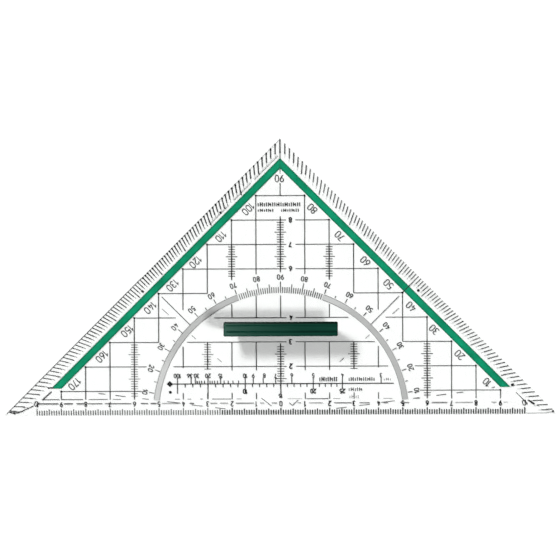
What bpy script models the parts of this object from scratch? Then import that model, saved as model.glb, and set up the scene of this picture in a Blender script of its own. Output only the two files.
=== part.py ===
"""Large clear set square with a built-in protractor and a lift-off handle.

Blender units are metres. The plate lies flat on z = 0, +Z is up, the long edge runs along X
and the right angle points to +Y. The origin is under the middle of the plate's bounding box.
Outlines are drawn about the protractor's centre, which is the middle of the long edge.
"""
import math

import bmesh
import bpy
from mathutils import Matrix, Vector

MM = 0.001

# Driving dimensions, in millimetres. Heights are above the surface that the plate lies on.
# A leg is named by its sum |x| + y, which is the same all along a line parallel to that leg.
PLATE_SUM = 113.5
PLATE_THICKNESS = 2.2
PLATE_TIP_RADIUS = 0.4
EDGE_THICKNESS = 1.0
LEG_FACET_WIDTH = 4.24
BASE_FACET_WIDTH = 4.8

CLEARANCE = 0.3
LAYER_BOTTOM = 0.05
LAYER_THICKNESS = 0.15

STRIPE_INNER_SUM = 101.15
STRIPE_OUTER_SUM = 105.4
STRIPE_END = 11.2

BAND_INNER_RADIUS = 50.1
BAND_OUTER_RADIUS = 52.5
BAND_START = math.radians(7.0)
BAND_END = math.radians(70.2)
BAND_STEPS = 32

HANDLE_LENGTH = 45.8
HANDLE_FOOT_LENGTH = 38.0
HANDLE_WIDTH = 5.85
HANDLE_FOOT_WIDTH = 4.9
HANDLE_HEIGHT = 12.0
HANDLE_ABOVE_LONG_EDGE = 35.75
HANDLE_CORNER_RADIUS = 0.6
HANDLE_TOP_ROUNDING = 0.45
HANDLE_TOP_ROUNDING_STEPS = 3

TOP_GROOVES = ((-1.1, 0.25), (1.4, 0.12))
TOP_GROOVE_RADIUS = 0.35
TOP_GROOVE_END_MARGIN = 1.1
SIDE_GROOVE_HEIGHTS = (2.8, 4.8, 6.8, 8.8)
SIDE_GROOVE_RADIUS = 0.6
SIDE_GROOVE_DEPTH = 0.35
SIDE_GROOVE_END_MARGIN = 2.6

PIN_SPACING = 30.0
PIN_DIAMETER = 3.8
PIN_TIP_DIAMETER = 3.2
PIN_TIP_LENGTH = 0.5
PIN_END = 0.3
PIN_ROOT = 1.0
PIN_SPLIT_WIDTH = 0.8
PIN_SPLIT_TOP = 2.0

ARC_STEPS = 5
ROUND_STEPS = 32
GROOVE_STEPS = 16
CUTTER_MARGIN = 4.0

# Worked out from the dimensions above. Rounding the right angle's tip lowers it a little.
RIGHT_ANGLE_TOP = PLATE_SUM - PLATE_TIP_RADIUS * (math.sqrt(2) - 1)
ORIGIN_ABOVE_LONG_EDGE = RIGHT_ANGLE_TOP / 2
HANDLE_BOTTOM = PLATE_THICKNESS + CLEARANCE
HANDLE_TOP = HANDLE_BOTTOM + HANDLE_HEIGHT
HANDLE_Y = HANDLE_ABOVE_LONG_EDGE - ORIGIN_ABOVE_LONG_EDGE
HOLE_DIAMETER = PIN_DIAMETER + 2 * CLEARANCE
LAYER_TOP = LAYER_BOTTOM + LAYER_THICKNESS
RECESS_TOP = LAYER_TOP + CLEARANCE


def clear_scene():
    """Remove every object and every collection."""
    for item in list(bpy.data.objects):
        bpy.data.objects.remove(item, do_unlink=True)
    for group in list(bpy.data.collections):
        bpy.data.collections.remove(group)


def new_collection(name):
    """Make a collection in the scene."""
    group = bpy.data.collections.new(name)
    bpy.context.scene.collection.children.link(group)
    return group


def new_material(name, colour, roughness, alpha=1.0):
    """Make a Principled material of one colour."""
    material = bpy.data.materials.new(name)
    material.use_nodes = True
    shader = material.node_tree.nodes["Principled BSDF"]
    shader.inputs["Base Color"].default_value = (*colour, 1.0)
    shader.inputs["Roughness"].default_value = roughness
    shader.inputs["Metallic"].default_value = 0.0
    shader.inputs["Alpha"].default_value = alpha
    return material


def rounded_outline(corners, radius):
    """Return a closed outline, counterclockwise, with an arc of the radius at each corner."""
    points = []
    for index, corner in enumerate(corners):
        tip = Vector(corner)
        back = (Vector(corners[index - 1]) - tip).normalized()
        ahead = (Vector(corners[(index + 1) % len(corners)]) - tip).normalized()
        half_angle = back.angle(ahead) / 2
        centre = tip + (back + ahead).normalized() * (radius / math.sin(half_angle))
        start = tip + back * (radius / math.tan(half_angle)) - centre
        turn = math.pi - 2 * half_angle
        for step in range(ARC_STEPS + 1):
            arm = Matrix.Rotation(turn * step / ARC_STEPS, 2) @ start
            points.append(centre + arm)
    return points


def sector_outline(inner, outer, start, end):
    """Return the outline of a ring sector about the protractor's centre."""
    points = []
    for step in range(BAND_STEPS + 1):
        angle = start + (end - start) * step / BAND_STEPS
        points.append((outer * math.cos(angle), outer * math.sin(angle)))
    for step in range(BAND_STEPS, -1, -1):
        angle = start + (end - start) * step / BAND_STEPS
        points.append((inner * math.cos(angle), inner * math.sin(angle)))
    return points


def chevron_outline(inner_sum, outer_sum, end):
    """Return the outline of a stripe that follows both legs and is cut off level."""
    return [
        (outer_sum - end, end),
        (0.0, outer_sum),
        (end - outer_sum, end),
        (end - inner_sum, end),
        (0.0, inner_sum),
        (inner_sum - end, end),
    ]


def flat_solid(name, outline, bottom, top, collection):
    """Extrude a flat outline, drawn about the protractor's centre, between two heights."""
    curve = bpy.data.curves.new(name, "CURVE")
    curve.dimensions = "2D"
    curve.fill_mode = "BOTH"
    curve.extrude = (top - bottom) / 2 * MM
    spline = curve.splines.new("POLY")
    spline.points.add(len(outline) - 1)
    for point, place in zip(spline.points, outline):
        point.co = (place[0] * MM, place[1] * MM, 0.0, 1.0)
    spline.use_cyclic_u = True
    drawn = bpy.data.objects.new(name + "_outline", curve)
    drawn.location = (0.0, -ORIGIN_ABOVE_LONG_EDGE * MM, (top + bottom) / 2 * MM)
    collection.objects.link(drawn)
    bpy.context.view_layer.update()
    evaluated = drawn.evaluated_get(bpy.context.evaluated_depsgraph_get())
    mesh = bpy.data.meshes.new_from_object(evaluated)
    weld_mesh(mesh)
    solid = bpy.data.objects.new(name, mesh)
    solid.matrix_world = drawn.matrix_world
    collection.objects.link(solid)
    bpy.data.objects.remove(drawn, do_unlink=True)
    return solid


def weld_mesh(mesh):
    """Join the caps of an extruded outline to its sides."""
    work = bmesh.new()
    work.from_mesh(mesh)
    bmesh.ops.remove_doubles(work, verts=work.verts, dist=1e-6)
    bmesh.ops.recalc_face_normals(work, faces=work.faces)
    work.to_mesh(mesh)
    work.free()


def box(name, low, high, collection):
    """Make a box between two corners of its own frame, in millimetres."""
    size = [(b - a) * MM for a, b in zip(low, high)]
    middle = [(a + b) / 2 * MM for a, b in zip(low, high)]
    work = bmesh.new()
    place = Matrix.Translation(middle) @ Matrix.Diagonal((*size, 1.0))
    bmesh.ops.create_cube(work, size=1.0, matrix=place)
    return object_from(work, name, collection)


def rod(name, radius, length, steps, collection):
    """Make a round rod along its own Z, centred on its origin, in millimetres."""
    work = bmesh.new()
    bmesh.ops.create_cone(
        work,
        cap_ends=True,
        segments=steps,
        radius1=radius * MM,
        radius2=radius * MM,
        depth=length * MM,
    )
    return object_from(work, name, collection)


def object_from(work, name, collection):
    """Turn a bmesh into an object of the collection."""
    mesh = bpy.data.meshes.new(name)
    work.to_mesh(mesh)
    work.free()
    item = bpy.data.objects.new(name, mesh)
    collection.objects.link(item)
    return item


def as_cutter(item):
    """Show a cutter as wire, and keep it out of renders."""
    item.hide_render = True
    item.display_type = "WIRE"
    return item


def combine(item, other, operation):
    """Cut or join another solid with an exact Boolean modifier."""
    modifier = item.modifiers.new(operation.lower() + "_" + other.name, "BOOLEAN")
    modifier.operation = operation
    modifier.solver = "EXACT"
    modifier.object = other


def facet_cutter(name, middle, heading, width, cutters):
    """Make the wedge of air above one bevelled edge, whose inward side faces the heading's left."""
    slope = math.atan((PLATE_THICKNESS - EDGE_THICKNESS) / width)
    low = (-2 * PLATE_SUM, -CUTTER_MARGIN, 0.0)
    high = (2 * PLATE_SUM, width / math.cos(slope) + CUTTER_MARGIN, CUTTER_MARGIN)
    wedge = as_cutter(box(name, low, high, cutters))
    edge_middle = Vector((middle[0], middle[1] - ORIGIN_ABOVE_LONG_EDGE, EDGE_THICKNESS)) * MM
    turn = Matrix.Rotation(heading, 4, "Z") @ Matrix.Rotation(slope, 4, "X")
    wedge.matrix_world = Matrix.Translation(edge_middle) @ turn
    return wedge


def layer_outlines(grow):
    """Return the outlines of the colour layers, widened all round by a clearance."""
    leg_grow = grow * math.sqrt(2)
    band_inner = BAND_INNER_RADIUS - grow
    band_outer = BAND_OUTER_RADIUS + grow
    end_grow = grow / BAND_INNER_RADIUS
    start = BAND_START - end_grow
    end = BAND_END + end_grow
    return {
        "green_stripe": chevron_outline(
            STRIPE_INNER_SUM - leg_grow, STRIPE_OUTER_SUM + leg_grow, STRIPE_END - grow
        ),
        "protractor_band_right": sector_outline(band_inner, band_outer, start, end),
        "protractor_band_left": sector_outline(
            band_inner, band_outer, math.pi - end, math.pi - start
        ),
    }


def make_plate(parts, cutters, material):
    """Make the moulded plate, with bevelled edges, handle holes and recesses for the layers."""
    corners = [(-PLATE_SUM, 0.0), (PLATE_SUM, 0.0), (0.0, PLATE_SUM)]
    outline = rounded_outline(corners, PLATE_TIP_RADIUS)
    plate = flat_solid("plate", outline, 0.0, PLATE_THICKNESS, parts)
    plate.data.materials.append(material)
    half = PLATE_SUM / 2
    quarter_turn = math.pi / 4
    edges = (
        ("base_facet", (0.0, 0.0), 0.0, BASE_FACET_WIDTH),
        ("right_facet", (half, half), 3 * quarter_turn, LEG_FACET_WIDTH),
        ("left_facet", (-half, half), -3 * quarter_turn, LEG_FACET_WIDTH),
    )
    for name, middle, heading, width in edges:
        combine(plate, facet_cutter(name, middle, heading, width, cutters), "DIFFERENCE")
    for side, name in ((-1, "left_hole"), (1, "right_hole")):
        length = PLATE_THICKNESS + 2 * CUTTER_MARGIN
        hole = as_cutter(rod(name, HOLE_DIAMETER / 2, length, ROUND_STEPS, cutters))
        hole.location = (side * PIN_SPACING / 2 * MM, HANDLE_Y * MM, PLATE_THICKNESS / 2 * MM)
        combine(plate, hole, "DIFFERENCE")
    for name, shape in layer_outlines(CLEARANCE).items():
        recess = flat_solid(name + "_recess", shape, -CUTTER_MARGIN, RECESS_TOP, cutters)
        combine(plate, as_cutter(recess), "DIFFERENCE")
    return plate


def make_layers(parts, materials):
    """Make the colour layers that fill the recesses in the plate's underside."""
    for name, shape in layer_outlines(0.0).items():
        layer = flat_solid(name, shape, LAYER_BOTTOM, LAYER_TOP, parts)
        layer.data.materials.append(materials[name])


def grip_half_size(height):
    """Return half the grip's length and width at a height above its foot; it widens upwards."""
    share = height / HANDLE_HEIGHT
    length = HANDLE_FOOT_LENGTH + (HANDLE_LENGTH - HANDLE_FOOT_LENGTH) * share
    width = HANDLE_FOOT_WIDTH + (HANDLE_WIDTH - HANDLE_FOOT_WIDTH) * share
    return (length / 2, width / 2)


def make_grip(parts):
    """Make the handle's upright bar, widening upwards, with a rounded outline and top edge."""
    x = HANDLE_LENGTH / 2
    y = HANDLE_WIDTH / 2
    corners = [(-x, -y), (x, -y), (x, y), (-x, y)]
    outline = rounded_outline(corners, HANDLE_CORNER_RADIUS)
    grip = flat_solid("handle", outline, 0.0, HANDLE_HEIGHT, parts)
    grip.data.transform(Matrix.Translation((0.0, 0.0, HANDLE_HEIGHT / 2 * MM)))
    grip.location = (0.0, HANDLE_Y * MM, HANDLE_BOTTOM * MM)
    work = bmesh.new()
    work.from_mesh(grip.data)
    foot_x, foot_y = grip_half_size(0.0)
    for vert in work.verts:
        if vert.co.z < HANDLE_HEIGHT / 2 * MM:
            vert.co.x -= math.copysign((x - foot_x) * MM, vert.co.x)
            vert.co.y -= math.copysign((y - foot_y) * MM, vert.co.y)
    top = (HANDLE_HEIGHT - 0.5) * MM
    top_edges = [edge for edge in work.edges if min(v.co.z for v in edge.verts) > top]
    rim = [edge for edge in top_edges if edge.calc_face_angle(0.0) > math.radians(60)]
    bmesh.ops.bevel(
        work,
        geom=rim,
        offset=HANDLE_TOP_ROUNDING * MM,
        segments=HANDLE_TOP_ROUNDING_STEPS,
        profile=0.5,
        affect="EDGES",
    )
    work.to_mesh(grip.data)
    work.free()
    return grip


def groove_cutter(name, radius, depth, half_length, place, outward, cutters):
    """Make a lengthwise rod that cuts a shallow groove into a face of the grip."""
    cutter = as_cutter(rod(name, radius, 2 * half_length, GROOVE_STEPS, cutters))
    centre = Vector(place) + Vector(outward) * (radius - depth)
    cutter.matrix_world = Matrix.Translation(centre * MM) @ Matrix.Rotation(math.pi / 2, 4, "Y")
    return cutter


def cut_grooves(grip, cutters):
    """Cut the two lines along the grip's top and the finger grooves along its sides."""
    half_length = HANDLE_LENGTH / 2 - TOP_GROOVE_END_MARGIN
    for number, (offset, depth) in enumerate(TOP_GROOVES):
        name = "top_groove_%d" % number
        place = (0.0, HANDLE_Y + offset, HANDLE_TOP)
        outward = (0.0, 0.0, 1.0)
        cutter = groove_cutter(
            name, TOP_GROOVE_RADIUS, depth, half_length, place, outward, cutters
        )
        combine(grip, cutter, "DIFFERENCE")
    for side in (-1, 1):
        for number, height in enumerate(SIDE_GROOVE_HEIGHTS):
            half_length, half_width = grip_half_size(height)
            half_length -= SIDE_GROOVE_END_MARGIN
            name = "side_groove_%d_%d" % (side, number)
            place = (0.0, HANDLE_Y + side * half_width, HANDLE_BOTTOM + height)
            outward = (0.0, float(side), 0.0)
            cutter = groove_cutter(
                name, SIDE_GROOVE_RADIUS, SIDE_GROOVE_DEPTH, half_length, place, outward, cutters
            )
            combine(grip, cutter, "DIFFERENCE")


def make_pin(name, side, cutters):
    """Make one round snap pin, turned about its own Z, with a tapered tip."""
    root = HANDLE_BOTTOM + PIN_ROOT
    taper_start = PIN_END + PIN_TIP_LENGTH
    profile = (
        (0.0, root),
        (PIN_DIAMETER / 2, root),
        (PIN_DIAMETER / 2, taper_start),
        (PIN_TIP_DIAMETER / 2, PIN_END),
        (0.0, PIN_END),
    )
    mesh = bpy.data.meshes.new(name)
    points = [(x * MM, 0.0, z * MM) for x, z in profile]
    mesh.from_pydata(points, [(i, i + 1) for i in range(len(points) - 1)], [])
    pin = as_cutter(bpy.data.objects.new(name, mesh))
    cutters.objects.link(pin)
    pin.location = (side * PIN_SPACING / 2 * MM, HANDLE_Y * MM, 0.0)
    screw = pin.modifiers.new("turn", "SCREW")
    screw.steps = ROUND_STEPS
    screw.render_steps = ROUND_STEPS
    screw.use_merge_vertices = True
    screw.merge_threshold = 1e-6
    return pin


def make_handle(parts, cutters, material):
    """Make the handle: the grip and its two split snap pins, moulded in one."""
    handle = make_grip(parts)
    handle.data.materials.append(material)
    cut_grooves(handle, cutters)
    for side, name in ((-1, "left"), (1, "right")):
        combine(handle, make_pin(name + "_pin", side, cutters), "UNION")
        half_split = PIN_SPLIT_WIDTH / 2
        low = (-half_split, -PIN_DIAMETER, PIN_END - 1.0)
        high = (half_split, PIN_DIAMETER, PIN_SPLIT_TOP)
        split = as_cutter(box(name + "_split", low, high, cutters))
        split.location = (side * PIN_SPACING / 2 * MM, HANDLE_Y * MM, 0.0)
        combine(handle, split, "DIFFERENCE")
    return handle


def main():
    """Build the set square."""
    clear_scene()
    parts = new_collection("set_square")
    cutters = new_collection("cutters")
    clear_plastic = new_material("clear_plastic", (0.93, 0.95, 0.94), 0.06, alpha=0.3)
    green_ink = new_material("green_ink", (0.01, 0.30, 0.16), 0.4)
    grey_ink = new_material("grey_ink", (0.48, 0.48, 0.47), 0.5)
    green_plastic = new_material("green_plastic", (0.02, 0.06, 0.04), 0.4)
    layer_materials = {
        "green_stripe": green_ink,
        "protractor_band_right": grey_ink,
        "protractor_band_left": grey_ink,
    }
    make_plate(parts, cutters, clear_plastic)
    make_layers(parts, layer_materials)
    make_handle(parts, cutters, green_plastic)


main()
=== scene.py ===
"""Looks for the clear set square: printed scales, clear plate, colour layers and ribbed handle.

Plan positions are in millimetres about the protractor's centre, which is the middle of the
long edge: x to the right along that edge and y above it. A line parallel to a leg is named by
its sum |x| + y.
"""
import math

import bmesh
import bpy
from mathutils import Matrix, Vector


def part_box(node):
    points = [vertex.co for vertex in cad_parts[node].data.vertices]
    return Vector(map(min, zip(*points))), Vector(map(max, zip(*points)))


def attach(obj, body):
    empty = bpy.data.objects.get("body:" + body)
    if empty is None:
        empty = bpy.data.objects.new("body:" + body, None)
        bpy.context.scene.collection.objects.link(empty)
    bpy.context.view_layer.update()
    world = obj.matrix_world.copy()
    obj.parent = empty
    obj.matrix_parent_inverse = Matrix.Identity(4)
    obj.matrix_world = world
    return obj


MM = 0.001

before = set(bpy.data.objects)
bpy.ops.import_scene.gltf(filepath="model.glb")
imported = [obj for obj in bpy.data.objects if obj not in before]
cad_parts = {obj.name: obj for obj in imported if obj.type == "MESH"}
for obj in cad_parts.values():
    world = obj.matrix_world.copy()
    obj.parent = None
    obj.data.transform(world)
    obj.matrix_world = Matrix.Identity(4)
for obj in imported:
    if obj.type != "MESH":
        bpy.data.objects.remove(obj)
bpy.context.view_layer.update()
plate_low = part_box("plate")[0]
stripe_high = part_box("green_stripe")[1]
handle_low, handle_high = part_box("handle")
PLATE_BODY = "plate_body"

# The printed layer lies just above the colour layers, inside the plate.
INK_BOTTOM = stripe_high.z + 0.03 * MM
INK_THICKNESS = 0.03 * MM

# Line widths of the print, in millimetres.
LEVEL_WIDTH = 0.26
COLUMN_WIDTH = 0.32
LEFT_RULER_WIDTH = 0.28
RIGHT_RULER_WIDTH = 0.46
SCALE_LINE_WIDTH = 0.4
SCALE_TICK_WIDTH = 0.25
FAINT_LINE_WIDTH = 0.34
FAINT_TICK_WIDTH = 0.18
ARC_TICK_WIDTH = 0.28

# Outer degree scale, by sums.
TICK_OUTER_SUM = 113.2
TICK_SUMS = {1: 108.7, 5: 107.4, 10: 106.2}
TICK_BOLD_SUM = 112.3
TICK_FADE_SUM = 107.3

# Up to which degree a tick has these widths: outer end, body, and faded inner end.
TICK_WIDTHS = (
    (13, 0.33, 0.33, 0.10),
    (60, 0.29, 0.29, 0.10),
    (83, 0.32, 0.32, 0.06),
    (89, 0.41, 0.41, 0.06),
    (90, 0.30, 0.30, 0.16),
    (98, 0.60, 0.45, 0.06),
    (110, 0.70, 0.47, 0.10),
    (135, 0.70, 0.45, 0.24),
    (158, 0.40, 0.40, 0.17),
    (179, 0.32, 0.32, 0.12),
)

# The upper edge of the bevel, by its sum, and the width of the painted shade line drawn along it.
RIDGE_SUM = 107.1
RIDGE_SHADE_WIDTH = 0.14

# Corners that the 90 degree line passes, up the middle.
STRIPE_OUTER_CORNER = 105.2
STRIPE_INNER_CORNER = 101.0

# Numerals of the outer degree scale.
LEG_NUMBER_HEIGHT = 2.8
LEG_NUMBER_STROKE = 0.315
NINETY_HEIGHT = 2.75
NINETY_STROKE = 0.32
LEG_NUMBER_SUM = 105.0
END_NUMBER_SUM = 102.0
NUMBER_CENTRE_SUM = 97.7

# Ruler along the long edge.
RULER_END = 100
RULER_TICK_FOOT = 0.25
RULER_TICK_TOPS = {1: 2.3, 5: 2.8, 10: 3.1}
# Strokes of its numbers: left of the middle, at it and right of it.
RULER_NUMBER_STROKES = {-1: 0.31, 0: 0.35, 1: 0.42}
END_NUMBER_STROKES = {-1: 0.27, 1: 0.30}

# Protractor arc.
ARC_INNER = 50.1
ARC_OUTER = 52.5
OPEN_FROM = 71
OPEN_TO = 109

# Circle-dividing scale: the circle's radius, and where the scale's line starts.
CHORD_RADIUS = 50.0
CHORD_START = -45.5
CHORD_LEVEL = 12.9
# Numbers moved sideways to keep clear of each other.
CHORD_NUDGED = {36: -0.5, 30: 0.55, 8: 0.5}


def plan(x, y, z):
    """A plan position in millimetres and a height in metres, as a point of the frame."""
    return Vector((x * MM, plate_low.y + y * MM, z))


# ---------------------------------------------------------------- ribbons

def ribbon(work, points, width, closed=False, bottom=INK_BOTTOM, thickness=INK_THICKNESS):
    """Add a flat closed strip that follows the points, with mitred joints."""
    spots = [Vector(p) for p in points]
    count = len(spots)
    rings = []
    for index, spot in enumerate(spots):
        ahead = spots[(index + 1) % count] - spot
        behind = spot - spots[index - 1]
        if not closed and index == 0:
            behind = ahead
        if not closed and index == count - 1:
            ahead = behind
        ahead = ahead.normalized()
        behind = behind.normalized()
        along = (ahead + behind).normalized()
        across = Vector((-along.y, along.x))
        reach = width / 2 / max(along.dot(ahead), 0.4)
        left = spot + across * reach
        right = spot - across * reach
        rings.append(
            [
                work.verts.new(plan(left.x, left.y, bottom)),
                work.verts.new(plan(right.x, right.y, bottom)),
                work.verts.new(plan(right.x, right.y, bottom + thickness)),
                work.verts.new(plan(left.x, left.y, bottom + thickness)),
            ]
        )
    spans = count if closed else count - 1
    for index in range(spans):
        first = rings[index]
        second = rings[(index + 1) % count]
        for side in range(4):
            after = (side + 1) % 4
            work.faces.new((first[side], first[after], second[after], second[side]))
    if not closed:
        work.faces.new(reversed(rings[0]))
        work.faces.new(rings[-1])


def dot(work, x, y, radius):
    """Add a round printed dot."""
    place = Matrix.Translation(plan(x, y, INK_BOTTOM + INK_THICKNESS / 2))
    bmesh.ops.create_cone(
        work,
        cap_ends=True,
        segments=12,
        radius1=radius * MM,
        radius2=radius * MM,
        depth=INK_THICKNESS,
        matrix=place,
    )


def polar(radius, degrees):
    """The plan position at a radius and an angle from the right end of the long edge."""
    angle = math.radians(degrees)
    return (radius * math.cos(angle), radius * math.sin(angle))


def on_leg(total, degrees):
    """The plan position where a ray from the centre crosses the line of that sum."""
    angle = math.radians(degrees)
    radius = total / (abs(math.cos(angle)) + math.sin(angle))
    return polar(radius, degrees)


def print_piece(name, draw, material):
    """Draw a printed piece into a new object that rides on the plate."""
    work = bmesh.new()
    draw(work)
    bmesh.ops.recalc_face_normals(work, faces=work.faces)
    mesh = bpy.data.meshes.new(name)
    work.to_mesh(mesh)
    work.free()
    piece = bpy.data.objects.new(name, mesh)
    bpy.context.scene.collection.objects.link(piece)
    mesh.materials.append(material)
    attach(piece, PLATE_BODY)
    return piece


# ---------------------------------------------------------------- lettering

# The largest angle between two points of a curved stroke.
ARC_STEP = math.radians(18)


def arc(cx, cy, rx, ry, start, end):
    """Points along an elliptical arc, in degrees, in a glyph's own units."""
    turn = math.radians(end - start)
    steps = max(2, math.ceil(abs(turn) / ARC_STEP))
    points = []
    for step in range(steps + 1):
        angle = math.radians(start) + turn * step / steps
        points.append((cx + rx * math.cos(angle), cy + ry * math.sin(angle)))
    return points


# Single-stroke numerals, one unit high and GLYPH_WIDTH wide. A stroke is (points, closed).
GLYPH_WIDTH = 0.5
GLYPH_SPANS = {"1": (0.05, 0.28)}
HALF = GLYPH_WIDTH / 2
GLYPHS = {
    "0": [(arc(HALF, 0.71, HALF, 0.29, 0, 180) + arc(HALF, 0.29, HALF, 0.29, 180, 360), True)],
    "1": [([(0.05, 0.76), (0.28, 1.0), (0.28, 0.0)], False)],
    "2": [(arc(HALF, 0.71, HALF, 0.29, 170, -25) + [(0.0, 0.0), (GLYPH_WIDTH, 0.0)], False)],
    "3": [(arc(0.24, 0.75, 0.22, 0.25, 150, -90) + arc(0.24, 0.25, 0.26, 0.25, 90, -150), False)],
    "4": [
        ([(0.3, 1.0), (0.0, 0.28), (GLYPH_WIDTH, 0.28)], False),
        ([(0.37, 0.55), (0.37, 0.0)], False),
    ],
    "5": [
        ([(0.45, 1.0), (0.07, 1.0), (0.03, 0.55)] + arc(0.23, 0.31, 0.26, 0.31, 120, -150), False),
    ],
    "6": [
        (arc(HALF, 0.29, HALF, 0.29, 0, 360)[:-1], True),
        ([(0.4, 1.0), (0.1, 0.62), (0.0, 0.29)], False),
    ],
    "7": [([(0.0, 1.0), (GLYPH_WIDTH, 1.0), (0.17, 0.0)], False)],
    "8": [
        (arc(HALF, 0.75, 0.21, 0.25, 0, 360)[:-1], True),
        (arc(HALF, 0.25, HALF, 0.25, 0, 360)[:-1], True),
    ],
    "9": [
        (arc(HALF, 0.71, HALF, 0.29, 0, 360)[:-1], True),
        ([(0.1, 0.0), (0.4, 0.38), (GLYPH_WIDTH, 0.71)], False),
    ],
}


def write(work, text, centre, turn, height, stroke, gap=0.24):
    """Write numerals centred on a plan position, turned by degrees, with gaps in heights."""
    spin = Matrix.Rotation(math.radians(turn), 2)
    spans = [GLYPH_SPANS.get(letter, (0.0, GLYPH_WIDTH)) for letter in text]
    width = sum(high - low for low, high in spans) + gap * (len(text) - 1)
    start = -width / 2
    for letter, (low, high) in zip(text, spans):
        for points, closed in GLYPHS[letter]:
            placed = []
            for px, py in points:
                local = Vector((start + px - low, py - 0.5)) * height
                placed.append(Vector(centre) + spin @ local)
            ribbon(work, placed, stroke, closed)
        start += high - low + gap


# ---------------------------------------------------------------- printed scales

def tick_step(count):
    """Whether a tick is a tenth, a fifth or a single one."""
    if count % 10 == 0:
        return 10
    return 5 if count % 5 == 0 else 1


def tick_widths(degrees):
    """The widths of a degree tick's outer end, body and faded inner end."""
    for last, bold, body, faint in TICK_WIDTHS:
        if degrees <= last:
            return bold, body, faint


def draw_degree_ticks(work):
    """One tick a degree along both legs, longer at every fifth and tenth."""
    for degrees in range(1, 180):
        step = tick_step(degrees)
        bold, body, faint = tick_widths(degrees)
        outer = on_leg(TICK_OUTER_SUM, degrees)
        inner = on_leg(TICK_SUMS[step], degrees)
        if degrees == 45:
            inner = (50.0, 50.0)
        if degrees == 90:
            inner = (0.0, STRIPE_OUTER_CORNER)
            ribbon(work, [inner, (0.0, STRIPE_INNER_CORNER)], faint / 2)
            ribbon(work, [(0.0, STRIPE_INNER_CORNER), (0.0, 99.0)], faint)
            ribbon(work, [(0.0, 95.2), (0.0, 90.0)], body)
        ribbon(work, [outer, inner], body)
        if bold > body:
            ribbon(work, [outer, on_leg(TICK_BOLD_SUM, degrees)], bold)
        if step == 1:
            ribbon(work, [inner, on_leg(TICK_FADE_SUM, degrees)], faint)


def draw_degree_numbers(work):
    """The tens of degrees inside the stripe, read with the long edge uppermost."""
    for degrees in range(10, 180, 10):
        side = 1 if degrees < 90 else -1
        if degrees == 90:
            write(work, "90", (-0.3, 97.0), 180, NINETY_HEIGHT, NINETY_STROKE)
            continue
        anchor_sum = END_NUMBER_SUM if degrees in (10, 80, 100, 170) else LEG_NUMBER_SUM
        x, y = on_leg(anchor_sum, degrees)
        inward = (anchor_sum - NUMBER_CENTRE_SUM) / 2
        centre = (x - side * inward, y - inward)
        turn = 135 if side > 0 else 225
        write(work, str(degrees), centre, turn, LEG_NUMBER_HEIGHT, LEG_NUMBER_STROKE)


def draw_ruler_ticks(work):
    """One tick a millimetre along the long edge, from 100 mm left to 100 mm right."""
    for x in range(-RULER_END, RULER_END + 1):
        top = RULER_TICK_TOPS[tick_step(x)]
        width = RIGHT_RULER_WIDTH if x > -25 else LEFT_RULER_WIDTH
        ribbon(work, [(x, RULER_TICK_FOOT), (x, top)], width)


def draw_ruler_numbers(work):
    """The centimetres of the ruler, counted from the middle both ways."""
    for x in range(-90, 91, 10):
        stroke = RULER_NUMBER_STROKES[(x > 0) - (x < 0)]
        write(work, str(abs(x) // 10), (x, 4.75), turn=180, height=1.8, stroke=stroke)
    for side in (-1, 1):
        stroke = END_NUMBER_STROKES[side]
        write(work, "10", (side * 100.0, 4.9), 180 + side * 23, height=1.9, stroke=stroke)


def draw_grid(work):
    """The centimetre grid, stepped along the legs and left open for the protractor."""
    levels = {
        90: [(-10, 10)],
        80: [(-20, 2.4), (6.2, 20)],
        70: [(-30, 2.4), (6.2, 30)],
        60: [(-40, 2.4), (6.2, 40)],
        50: [(-50, -30), (30, 50)],
        40: [(-60, -43), (-27.2, 2.4), (6.2, 27.8), (43, 60)],
        30: [(-70, -50), (-38.4, 2.4), (6.2, 38.6), (50, 70)],
        20: [(-80, -55), (-44, 2.4), (6.2, 44), (55, 80)],
        10: [(-90, -57), (57, 90)],
    }
    columns = {
        10: [(90, 57.8), (49, 40), (30, 18.4), (9.2, 6.6)],
        20: [(80, 70), (45.5, 40), (30, 18.4), (9.2, 6.6)],
        30: [(70, 50), (9.2, 6.6)],
        40: [(60, 43.2), (28.2, 19.4), (9.2, 6.6)],
        50: [(50, 30)],
        60: [(40, 29.5)],
        70: [(30, 6.6)],
        80: [(20, 6.6)],
        90: [(10, 6.6)],
    }
    for y, spans in levels.items():
        for start, end in spans:
            ribbon(work, [(start, y), (end, y)], LEVEL_WIDTH)
    for x, spans in columns.items():
        for start, end in spans:
            for side in (-1, 1):
                ribbon(work, [(side * x, start), (side * x, end)], COLUMN_WIDTH)
    ribbon(work, [(0, 49), (0, 40)], COLUMN_WIDTH)
    for x in range(10, 91, 10):
        for side in (-1, 1):
            dot(work, side * x, 100 - x, radius=0.42)


def draw_grid_scales(work):
    """Vertical lines of the grid that carry a tick every millimetre."""
    scales = (
        (0, 81.5, 58.6, 80, 60),
        (0, 29.4, 8.6, 28, 14),
        (20, 70, 55.4, 69, 57),
        (60, 29.5, 6.6, 29, 8),
        (30, 30, 18.8, 29, 19),
    )
    for x, top, bottom, first, last in scales:
        for side in (-1, 1) if x else (1,):
            faint = side < 0 and x in (30, 60)
            line = FAINT_LINE_WIDTH if faint else SCALE_LINE_WIDTH
            width = FAINT_TICK_WIDTH if faint else SCALE_TICK_WIDTH
            ribbon(work, [(side * x, top), (side * x, bottom)], line)
            for y in range(last, first + 1):
                reach = 2.4 if y % 10 == 5 else 1.4
                ribbon(work, [(side * x - reach, y), (side * x + reach, y)], width)


def draw_grid_numbers(work):
    """The centimetres above the long edge, beside the middle line."""
    for y in (20, 30, 40, 60, 70, 80):
        write(work, str(y // 10), (4.15, y), turn=180, height=1.9, stroke=0.45)


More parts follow.
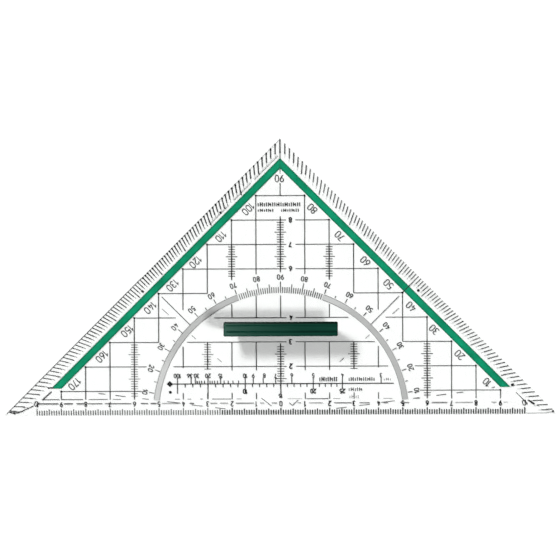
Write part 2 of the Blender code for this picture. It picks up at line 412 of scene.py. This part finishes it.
def draw_protractor_ticks(work):
    """Degree ticks across the open top of the arc, and outside its grey band."""
    for degrees in range(OPEN_FROM, OPEN_TO + 1):
        ribbon(work, [polar(ARC_INNER, degrees), polar(ARC_OUTER, degrees)], ARC_TICK_WIDTH)
    for degrees in range(10, 171, 5):
        outer = 54.8 if degrees % 10 == 0 else 53.8
        start = ARC_OUTER - 0.2 if OPEN_FROM <= degrees <= OPEN_TO else ARC_OUTER + 0.3
        ribbon(work, [polar(start, degrees), polar(outer, degrees)], ARC_TICK_WIDTH)


def draw_protractor_numbers(work):
    """The tens of degrees round the arc, counted up to 90 from both ends."""
    for degrees in range(10, 171, 10):
        label = str(min(degrees, 180 - degrees))
        place = polar(56.6, degrees)
        write(work, label, place, degrees + 90, height=1.9, stroke=0.31, gap=0.3)


def draw_band_edges(work):
    """The thin darker lines along both edges of the grey band."""
    steps = 24
    for side in (-1, 1):
        for radius in (ARC_INNER + 0.1, ARC_OUTER - 0.1):
            for start, end, width in ((7.2, 58.0, 0.09), (58.0, 70.0, 0.17 if side > 0 else 0.09)):
                points = []
                for step in range(steps + 1):
                    x, y = polar(radius, start + (end - start) * step / steps)
                    points.append((side * x, y))
                ribbon(work, points, width)


def ray(work, side, degrees, start, end, width):
    """One stretch of a ray from the centre, on the right or mirrored to the left for side -1."""
    points = [polar(start, degrees), polar(end, degrees)]
    ribbon(work, [(side * x, y) for x, y in points], width)


def draw_angle_marks(work):
    """Rays and marks at 45 degrees, and at the 7 and 42 degrees of a dimetric view."""
    for side in (-1, 1):
        ray(work, side, 45, 52.5, 68.8, 0.25 if side > 0 else 0.32)
        for start, end in ((32.6, 34.9), (46.8, 49.0), (61.7, 65.3)):
            ray(work, side, 42, start, end, width=0.2)
        for start, end in ((22.9, 27.2), (32.4, 36.8), (41.5, 47.0), (54.6, 57.2)):
            ray(work, side, 7, start, end, width=0.22)
        for start, end in ((64.2, 68.3), (72.6, 75.3)):
            ray(work, side, 7, start, end, width=0.26)
        x, y = on_leg(107.3, 42)
        dot(work, side * x, y, radius=0.5)
    ribbon(work, [(-8.0, 7.0), (-3.9, 3.9)], width=0.24)
    ribbon(work, [(3.4, 5.1), (4.7, 4.1), (7.1, 6.1)], width=0.26)
    ribbon(work, [(86.4, 10.9), (87.8, 11.2)], width=0.26)
    ribbon(work, [(-95.6, 11.5), (-93.2, 11.5)], width=0.5)
    dot(work, 94.9, 12.0, radius=0.62)
    dot(work, -24.4, 83.0, radius=0.45)


def chord(degrees):
    """The chord of a central angle in the circle that the dividing scale is for."""
    return 2 * CHORD_RADIUS * math.sin(math.radians(degrees) / 2)


def draw_chord_scale(work):
    """The circle-dividing scale: polygon sides above the line, hundredths of a turn below."""
    zero, level = CHORD_START, CHORD_LEVEL
    ribbon(work, [(zero, level), (46.3, level)], width=0.37)
    for reach in (1.05, 0.7, 0.35):
        mark = [
            (zero - reach, level),
            (zero, level + reach),
            (zero + reach, level),
            (zero, level - reach),
        ]
        ribbon(work, mark, width=0.3, closed=True)
    dot(work, zero + 0.2, 9.5, radius=0.6)
    for sides in (11, 12, 13, 14, 16, 17, 18, 19, 22, 24, 26, 28):
        x = zero + chord(360 / sides)
        ribbon(work, [(x, level), (x, level + 1.3)], width=0.32)
    for sides in (3, 4, 5, 6, 7, 8, 9, 10, 15, 20, 30, 36, 100):
        x = zero + chord(360 / sides)
        ribbon(work, [(x, level), (x, level + 2.5)], width=0.32)
        place = (x + CHORD_NUDGED.get(sides, 0.0), level + 3.3)
        write(work, str(sides), place, turn=180, height=1.6, stroke=0.29)
    for share, foot in ((1, 8.9), (5, 6.8)):
        x = zero + chord(3.6 * share)
        ribbon(work, [(x, level), (x, foot)], width=0.34)
    for share in range(1, 26):
        x = zero + chord(3.6 * share)
        reach = 2.3 if share % 5 == 0 else 1.4
        ribbon(work, [(x, level), (x, level - reach)], width=0.34)
        if share in (10, 20, 25):
            write(work, str(share), (x, level - 3.15), turn=180, height=1.6, stroke=0.4)
    write(work, "15", (-0.1, 7.9), turn=180, height=1.4, stroke=0.34)


def draw_filler_marks(work):
    """Plain strokes where the real square has small words."""
    rows = (
        (-9.0, 8.2, 86.4, 1.6, 0.36),
        (-9.0, -2.4, 84.0, 1.2, 0.34),
        (0.6, 8.2, 84.0, 1.2, 0.34),
        (16.0, 23.0, 14.7, 1.8, 0.38),
        (28.0, 38.6, 14.7, 1.5, 0.32),
        (42.4, 45.6, 14.6, 1.1, 0.16),
        (28.0, 33.2, 10.5, 1.4, 0.28),
        (28.3, 31.8, 7.5, 1.3, 0.14),
    )
    pitch = 0.85
    for start, end, y, height, stroke in rows:
        count = int((end - start) / pitch)
        for index in range(count + 1):
            x = start + index * pitch
            drop = 0.0 if index % 3 else 0.3
            top = y + height / 2 - drop
            ribbon(work, [(x, y - height / 2), (x, top)], stroke)
            if index % 4 == 1 and index < count:
                ribbon(work, [(x, y), (x + pitch, y)], stroke)


def draw_foot_lines(work):
    """The broken border under the grid with its two tails, and dashes between the numbers."""
    border = (
        (-97.6, -90.7, 0.26), (-89.8, -81.1, 0.26), (-78.8, -71.0, 0.22), (-69.0, -65.6, 0.16),
        (-43.4, -41.4, 0.18), (-38.3, -36.7, 0.2), (-33.0, -32.0, 0.24), (-28.2, -20.4, 0.2),
        (-18.2, -16.1, 0.14), (2.7, 8.8, 0.1), (10.4, 19.5, 0.24), (21.4, 24.4, 0.12),
        (42.0, 45.7, 0.14), (54.3, 57.1, 0.18),
    )
    dashes = (
        (-99.3, -91.2, 0.36), (-89.0, -85.3, 0.36), (-83.8, -80.8, 0.36), (-79.2, -73.2, 0.24),
        (-72.2, -61.4, 0.24), (-57.4, -54.5, 0.26), (-53.4, -51.0, 0.36), (-48.8, -42.0, 0.14),
        (-37.4, -35.7, 0.34), (-28.9, -26.0, 0.2), (-25.0, -21.7, 0.2), (-18.6, -11.1, 0.24),
        (-8.6, -6.9, 0.2), (-3.7, -1.6, 0.24), (6.9, 8.2, 0.2), (11.4, 17.2, 0.16),
        (21.8, 29.0, 0.24), (32.2, 36.4, 0.2), (42.0, 44.0, 0.18), (48.9, 52.6, 0.2),
        (61.8, 68.2, 0.26), (71.6, 78.6, 0.16), (86.2, 88.4, 0.18), (91.2, 93.0, 0.12),
    )
    for level, spans in ((6.7, border), (5.0, dashes)):
        for start, end, width in spans:
            ribbon(work, [(start, level), (end, level)], width)
    ribbon(work, [(-94.0, 10.0), (-97.9, 6.4)], width=0.42)
    ribbon(work, [(96.4, 9.0), (98.6, 6.8)], width=0.28)
    ribbon(work, [(98.6, 6.8), (100.6, 4.8)], width=0.42)


def draw_bevel_lines(work):
    """Painted shade lines, in ink, for the darkness that the bevelled edges show: along the left
    leg and at both tips.
    """
    ribbon(work, [(-112.5, 0.8), (-57.0, 56.3)], width=0.2)
    ribbon(work, [(-57.0, 56.05), (-0.4, 112.65)], width=0.1)
    for start, end in ((0.8, 10.5), (12.0, 19.0), (21.0, 29.0)):
        ribbon(work, [(-start, RIDGE_SUM - start), (-end, RIDGE_SUM - end)], RIDGE_SHADE_WIDTH)
    ribbon(work, [(-111.4, 1.5), (-109.3, 1.2), (-107.4, 1.5), (-101.4, 4.3)], width=0.34)
    dot(work, -109.3, 1.2, radius=0.45)
    ribbon(work, [(101.2, 5.8), (103.9, 4.1)], width=0.46)
    ribbon(work, [(100.6, 0.5), (108.5, 0.55), (111.4, 1.0)], width=0.15)
    dot(work, 111.6, 1.1, radius=0.4)


def make_print(ink):
    """Make every printed piece."""
    print_piece("degree_ticks", draw_degree_ticks, ink)
    print_piece("degree_numbers", draw_degree_numbers, ink)
    print_piece("ruler_ticks", draw_ruler_ticks, ink)
    print_piece("ruler_numbers", draw_ruler_numbers, ink)
    print_piece("centimetre_grid", draw_grid, ink)
    print_piece("grid_scales", draw_grid_scales, ink)
    print_piece("grid_numbers", draw_grid_numbers, ink)
    print_piece("protractor_ticks", draw_protractor_ticks, ink)
    print_piece("protractor_numbers", draw_protractor_numbers, ink)
    print_piece("protractor_band_edges", draw_band_edges, ink)
    print_piece("angle_marks", draw_angle_marks, ink)
    print_piece("circle_dividing_scale", draw_chord_scale, ink)
    print_piece("filler_marks", draw_filler_marks, ink)
    print_piece("foot_lines", draw_foot_lines, ink)
    # Painted shade along the bevelled edges, drawn in the printing ink.
    print_piece("edge_shade_lines", draw_bevel_lines, ink)


# ---------------------------------------------------------------- materials

# The middle line of the green stripe, and where its darker edges start and end beside it.
STRIPE_SUM = 103.275
STRIPE_EDGE_START = 1.0
STRIPE_EDGE_END = 1.8

# How far in from the handle's far side and right end its top carries painted shade, and how deep.
BACK_SHADE_START = 1.0 * MM
BACK_SHADE_END = 0.85 * MM
RIGHT_SHADE_START = 0.5 * MM
RIGHT_SHADE_END = 0.25 * MM
SHADE_DEPTH = 1.2 * MM

# The near groove of the handle's top gets painted shade, stronger towards the right end.
GROOVE_OFFSET = 1.1 * MM
GROOVE_INSIDE = 0.25 * MM
GROOVE_OUTSIDE = 0.5 * MM
GROOVE_SHADE_FROM = 0.0
GROOVE_SHADE_TO = 12 * MM


def new_material(name):
    """A node material with its Principled shader."""
    material = bpy.data.materials.new(name)
    material.use_nodes = True
    return material, material.node_tree, material.node_tree.nodes["Principled BSDF"]


def noise(tree, scale, detail, roughness=0.5, stretch=None):
    """A noise texture in object space, whose scale is in cells a metre."""
    place = tree.nodes.new("ShaderNodeTexCoord")
    texture = tree.nodes.new("ShaderNodeTexNoise")
    texture.inputs["Scale"].default_value = scale
    texture.inputs["Detail"].default_value = detail
    texture.inputs["Roughness"].default_value = roughness
    if stretch is None:
        tree.links.new(place.outputs["Object"], texture.inputs["Vector"])
    else:
        mapping = tree.nodes.new("ShaderNodeMapping")
        mapping.inputs["Scale"].default_value = stretch
        tree.links.new(place.outputs["Object"], mapping.inputs["Vector"])
        tree.links.new(mapping.outputs["Vector"], texture.inputs["Vector"])
    return texture


def ramp(tree, source, stops):
    """A colour ramp over a value."""
    node = tree.nodes.new("ShaderNodeValToRGB")
    elements = node.color_ramp.elements
    while len(elements) < len(stops):
        elements.new(0.5)
    for element, (place, colour) in zip(elements, stops):
        element.position = place
        element.color = (*colour, 1.0)
    tree.links.new(source, node.inputs["Fac"])
    return node.outputs["Color"]


def span(tree, source, low, high, start=0.0, end=1.0):
    """A value spread from low to high while the source goes from start to end."""
    node = tree.nodes.new("ShaderNodeMapRange")
    node.inputs["From Min"].default_value = start
    node.inputs["From Max"].default_value = end
    node.inputs["To Min"].default_value = low
    node.inputs["To Max"].default_value = high
    tree.links.new(source, node.inputs["Value"])
    return node.outputs["Result"]


def maths(tree, operation, first, second=0.0):
    """One operation on a value, with a second value or a number."""
    node = tree.nodes.new("ShaderNodeMath")
    node.operation = operation
    tree.links.new(first, node.inputs[0])
    if isinstance(second, float):
        node.inputs[1].default_value = second
    else:
        tree.links.new(second, node.inputs[1])
    return node.outputs["Value"]


def blend(tree, amount, first, second):
    """A colour between a colour output and a fixed colour."""
    node = tree.nodes.new("ShaderNodeMix")
    node.data_type = "RGBA"
    tree.links.new(amount, node.inputs["Factor"])
    tree.links.new(first, node.inputs[6])
    node.inputs[7].default_value = (*second, 1.0)
    return node.outputs[2]


def components(tree, kind):
    """The x, y and z of one kind of texture coordinate, such as Object or Normal."""
    place = tree.nodes.new("ShaderNodeTexCoord")
    split = tree.nodes.new("ShaderNodeSeparateXYZ")
    tree.links.new(place.outputs[kind], split.inputs["Vector"])
    return split.outputs["X"], split.outputs["Y"], split.outputs["Z"]


def bump(tree, shader, source, strength, distance):
    """Raise the surface by a value."""
    node = tree.nodes.new("ShaderNodeBump")
    node.inputs["Strength"].default_value = strength
    node.inputs["Distance"].default_value = distance
    tree.links.new(source, node.inputs["Height"])
    tree.links.new(node.outputs["Normal"], shader.inputs["Normal"])


def ink_material():
    """Matte black printing ink, a little uneven."""
    material, tree, shader = new_material("printing_ink")
    shader.inputs["Specular IOR Level"].default_value = 0.0
    patches = noise(tree, scale=900, detail=3)
    stops = ((0.3, (0.012, 0.012, 0.013)), (0.7, (0.04, 0.04, 0.042)))
    tree.links.new(ramp(tree, patches.outputs["Fac"], stops), shader.inputs["Base Color"])
    tree.links.new(span(tree, patches.outputs["Fac"], 0.45, 0.7), shader.inputs["Roughness"])
    return material


def stripe_material():
    """Saturated green ink, mottled along the stripe and darker at its edges."""
    material, tree, shader = new_material("stripe_ink")
    shader.inputs["Specular IOR Level"].default_value = 0.0
    patches = noise(tree, scale=160, detail=4, roughness=0.6)
    stops = ((0.3, (0.0005, 0.2, 0.096)), (0.7, (0.003, 0.31, 0.155)))
    body = ramp(tree, patches.outputs["Fac"], stops)
    x, y, _ = components(tree, "Object")
    total = maths(tree, "ADD", maths(tree, "ABSOLUTE", x), y)
    off = maths(tree, "ABSOLUTE", maths(tree, "SUBTRACT", total, plate_low.y + STRIPE_SUM * MM))
    edge = span(tree, off, 0.0, 0.8, STRIPE_EDGE_START * MM, STRIPE_EDGE_END * MM)
    colour = blend(tree, edge, body, (0.002, 0.13, 0.065))
    tree.links.new(colour, shader.inputs["Base Color"])
    tree.links.new(span(tree, patches.outputs["Fac"], 0.3, 0.5), shader.inputs["Roughness"])
    return material


def band_material(name, lower_tone, upper_tone, start, end):
    """Grained grey ink whose tone changes from start to end, in millimetres above the edge."""
    material, tree, shader = new_material(name)
    shader.inputs["Specular IOR Level"].default_value = 0.0
    grain = noise(tree, scale=2500, detail=2)
    up = components(tree, "Object")[1]
    low = plate_low.y + start * MM
    high = plate_low.y + end * MM
    rise = span(tree, up, 0.0, 0.8, low, high)
    mixed = maths(tree, "ADD", maths(tree, "MULTIPLY", grain.outputs["Fac"], 0.2), rise)
    stops = ((0.0, (lower_tone,) * 3), (1.0, (upper_tone,) * 3))
    tree.links.new(ramp(tree, mixed, stops), shader.inputs["Base Color"])
    tree.links.new(span(tree, grain.outputs["Fac"], 0.5, 0.7), shader.inputs["Roughness"])
    return material


def handle_material():
    """Dark green satin plastic with fine lines along the bar, and painted shade lines on its top.
    """
    material, tree, shader = new_material("handle_plastic")
    drawn = noise(tree, scale=1800, detail=3, roughness=0.6, stretch=(0.04, 1.0, 1.0))
    stops = ((0.25, (0.0003, 0.024, 0.014)), (0.75, (0.0009, 0.038, 0.023)))
    body = ramp(tree, drawn.outputs["Fac"], stops)
    x, y, z = components(tree, "Object")
    # Painted shade along the top's far edge and right end, and in the near groove towards the
    # right.
    back_shade = span(tree, y, 0.0, 0.9, handle_high.y - BACK_SHADE_START, handle_high.y - BACK_SHADE_END)
    right_end = handle_high.x
    right = span(tree, x, 0.0, 0.9, right_end - RIGHT_SHADE_START, right_end - RIGHT_SHADE_END)
    top = span(tree, z, 0.0, 1.0, handle_high.z - SHADE_DEPTH, handle_high.z - SHADE_DEPTH / 2)
    groove_y = (handle_low.y + handle_high.y) / 2 - GROOVE_OFFSET
    off = maths(tree, "ABSOLUTE", maths(tree, "SUBTRACT", y, groove_y))
    near = span(tree, off, 0.5, 0.0, GROOVE_INSIDE, GROOVE_OUTSIDE)
    rightwards = span(tree, x, 0.0, 1.0, GROOVE_SHADE_FROM, GROOVE_SHADE_TO)
    groove = maths(tree, "MULTIPLY", near, rightwards)
    lines = maths(tree, "MAXIMUM", maths(tree, "MAXIMUM", back_shade, right), groove)
    painted_shade = maths(tree, "MULTIPLY", lines, top)
    # The painted shade blends the body colour towards a near-black green.
    tree.links.new(blend(tree, painted_shade, body, (0.0004, 0.006, 0.0035)), shader.inputs["Base Color"])
    shader.inputs["Specular IOR Level"].default_value = 0.25
    tree.links.new(span(tree, drawn.outputs["Fac"], 0.19, 0.3), shader.inputs["Roughness"])
    bump(tree, shader, drawn.outputs["Fac"], strength=0.2, distance=0.05 * MM)
    return material


def plate_material():
    """Clear plastic that lets lamps through to the paper below."""
    material, tree, shader = new_material("clear_plastic")
    shader.inputs["Base Color"].default_value = (0.990, 0.995, 0.991, 1.0)
    shader.inputs["Transmission Weight"].default_value = 1.0
    shader.inputs["IOR"].default_value = 1.49
    shader.inputs["Roughness"].default_value = 0.0
    flow = noise(tree, scale=60, detail=3, roughness=0.5)
    bump(tree, shader, flow.outputs["Fac"], strength=0.2, distance=0.03 * MM)
    path = tree.nodes.new("ShaderNodeLightPath")
    clear = tree.nodes.new("ShaderNodeBsdfTransparent")
    clear.inputs["Color"].default_value = (0.988, 0.993, 0.989, 1.0)
    mix = tree.nodes.new("ShaderNodeMixShader")
    output = tree.nodes["Material Output"]
    tree.links.new(path.outputs["Is Shadow Ray"], mix.inputs["Fac"])
    tree.links.new(shader.outputs["BSDF"], mix.inputs[1])
    tree.links.new(clear.outputs["BSDF"], mix.inputs[2])
    tree.links.new(mix.outputs["Shader"], output.inputs["Surface"])
    return material


def dress(node, material):
    """Give a CAD node its material."""
    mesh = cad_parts[node].data
    mesh.materials.clear()
    mesh.materials.append(material)


# ---------------------------------------------------------------- studio

# Camera: its height above the paper in metres, which is assumed, the width that it sees there,
# the plan position that it looks at, and its turn.
CAMERA_HEIGHT = 0.55
FIELD = 0.2300
AIM = (-0.18, 55.39)
ROLL = math.radians(-0.22)
SENSOR_WIDTH = 36.0

# Floor: how white it is, half its side in metres, and how far it lies under the plate.
FLOOR_WHITE = 0.92
FLOOR_HALF_SIZE = 0.42
FLOOR_DROP = 0.1 * MM

# Even lamps: plan position and height in millimetres, radius in millimetres, and share of the
# floor's white. Their strength stops growing below this steepness of the light.
KEY_PLACE = (-226.0, 298.0, 427.0)
KEY_RADIUS = 59.0
KEY_SHARE = 0.50
FILL_PLACE = (86.0, -25.0, 209.0)
FILL_RADIUS = 22.0
FILL_SHARE = 0.44
LEAST_STEEPNESS = 0.3

# The sheen lamp, with its power in watts.
SHEEN_PLACE = (-80.0, 30.0, 300.0)
SHEEN_RADIUS = 18.0
SHEEN_POWER = 1.2
SHEEN_COLOUR = (0.6, 1.0, 0.85)

# The surround's strength for light before and after its first bounce.
FIRST_AMBIENT = 0.08
LATER_AMBIENT = 0.15

# The white walls that the clear plate mirrors, and the steepness where the dim ceiling starts.
WALL_WHITE = 0.9
WALL_TOP = 0.35
CEILING = 0.55


def add_camera():
    """Look straight down at the plate, as the picture of the object does."""
    data = bpy.data.cameras.new("camera")
    data.sensor_width = SENSOR_WIDTH
    data.lens = SENSOR_WIDTH * CAMERA_HEIGHT / FIELD
    data.clip_start = 0.01
    camera = bpy.data.objects.new("camera", data)
    bpy.context.scene.collection.objects.link(camera)
    camera.location = plan(AIM[0], AIM[1], CAMERA_HEIGHT)
    camera.rotation_euler = (0.0, 0.0, ROLL)
    bpy.context.scene.camera = camera


def lights_only(light, item, lit):
    """Make a lamp light this object alone, or leave this object alone out."""
    group = bpy.data.collections.new(light.name + "_objects")
    group.objects.link(item)
    light.light_linking.receiver_collection = group
    state = "INCLUDE" if lit else "EXCLUDE"
    group.collection_objects[0].light_linking.link_state = state


def add_lamp(name, place, radius, power):
    """A soft round lamp, at a plan position and a height in millimetres."""
    data = bpy.data.lights.new(name, "POINT")
    data.shadow_soft_size = radius * MM
    data.energy = power
    light = bpy.data.objects.new(name, data)
    bpy.context.scene.collection.objects.link(light)
    light.location = plan(place[0], place[1], place[2] * MM)
    light.visible_camera = False
    light.visible_transmission = False
    return light


def add_even_lamp(name, place, radius, share):
    """A lamp that gives the whole floor the same share of white, as a batwing lamp does."""
    power = share / FLOOR_WHITE * (2 * math.pi * place[2] * MM) ** 2
    light = add_lamp(name, place, radius, power)
    data = light.data
    data.use_nodes = True
    tree = data.node_tree
    steep = maths(tree, "ABSOLUTE", components(tree, "Normal")[2])
    capped = maths(tree, "MAXIMUM", steep, LEAST_STEEPNESS)
    spread = maths(tree, "POWER", capped, -3.0)
    tree.links.new(spread, tree.nodes["Emission"].inputs["Strength"])
    lights_only(light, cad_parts["plate"], False)
    return light


def add_floor():
    """A plain white paper floor just under the plate."""
    work = bmesh.new()
    bmesh.ops.create_grid(work, x_segments=1, y_segments=1, size=FLOOR_HALF_SIZE)
    mesh = bpy.data.meshes.new("floor")
    work.to_mesh(mesh)
    work.free()
    floor = bpy.data.objects.new("floor", mesh)
    bpy.context.scene.collection.objects.link(floor)
    floor.location = (0.0, 0.0, -FLOOR_DROP)
    material, tree, shader = new_material("white_paper")
    fibres = noise(tree, scale=400, detail=3)
    stops = ((0.3, (0.91, 0.91, 0.91)), (0.7, (0.93, 0.93, 0.93)))
    tree.links.new(ramp(tree, fibres.outputs["Fac"], stops), shader.inputs["Base Color"])
    shader.inputs["Roughness"].default_value = 0.9
    shader.inputs["Specular IOR Level"].default_value = 0.2
    mesh.materials.append(material)


def add_lamps():
    """Two even soft lamps for the whole scene, and a small one for the handle's sheen."""
    add_even_lamp("upper_left_lamp", KEY_PLACE, KEY_RADIUS, KEY_SHARE)
    fill = add_even_lamp("lower_right_lamp", FILL_PLACE, FILL_RADIUS, FILL_SHARE)
    fill.visible_glossy = False
    sheen = add_lamp("handle_sheen_lamp", SHEEN_PLACE, SHEEN_RADIUS, SHEEN_POWER)
    sheen.data.color = SHEEN_COLOUR
    sheen.visible_diffuse = False
    lights_only(sheen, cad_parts["handle"], True)


def add_surround():
    """White to the camera, dim to bounced light, and white walls to sharp reflections."""
    world = bpy.data.worlds.new("surround")
    world.use_nodes = True
    tree = world.node_tree
    background = tree.nodes["Background"]
    background.inputs["Color"].default_value = (1.0, 1.0, 1.0, 1.0)
    path = tree.nodes.new("ShaderNodeLightPath")
    indirect = span(tree, path.outputs["Diffuse Depth"], FIRST_AMBIENT, LATER_AMBIENT)
    level = maths(tree, "ABSOLUTE", components(tree, "Generated")[2])
    walls = span(tree, level, WALL_WHITE, 0.0, WALL_TOP, CEILING)
    mirrored = maths(tree, "MULTIPLY", path.outputs["Is Singular Ray"], walls)
    dim = maths(tree, "MAXIMUM", indirect, mirrored)
    strength = maths(tree, "MAXIMUM", dim, path.outputs["Is Camera Ray"])
    tree.links.new(strength, background.inputs["Strength"])
    bpy.context.scene.world = world
    bpy.context.scene.view_settings.view_transform = "Standard"


make_print(ink_material())
dress("plate", plate_material())
dress("green_stripe", stripe_material())
dress("protractor_band_left", band_material("left_band_ink", 0.6, 0.47, 20.0, 27.0))
dress("protractor_band_right", band_material("right_band_ink", 0.44, 0.58, 42.0, 46.0))
dress("handle", handle_material())
add_camera()
add_floor()
add_lamps()
add_surround()
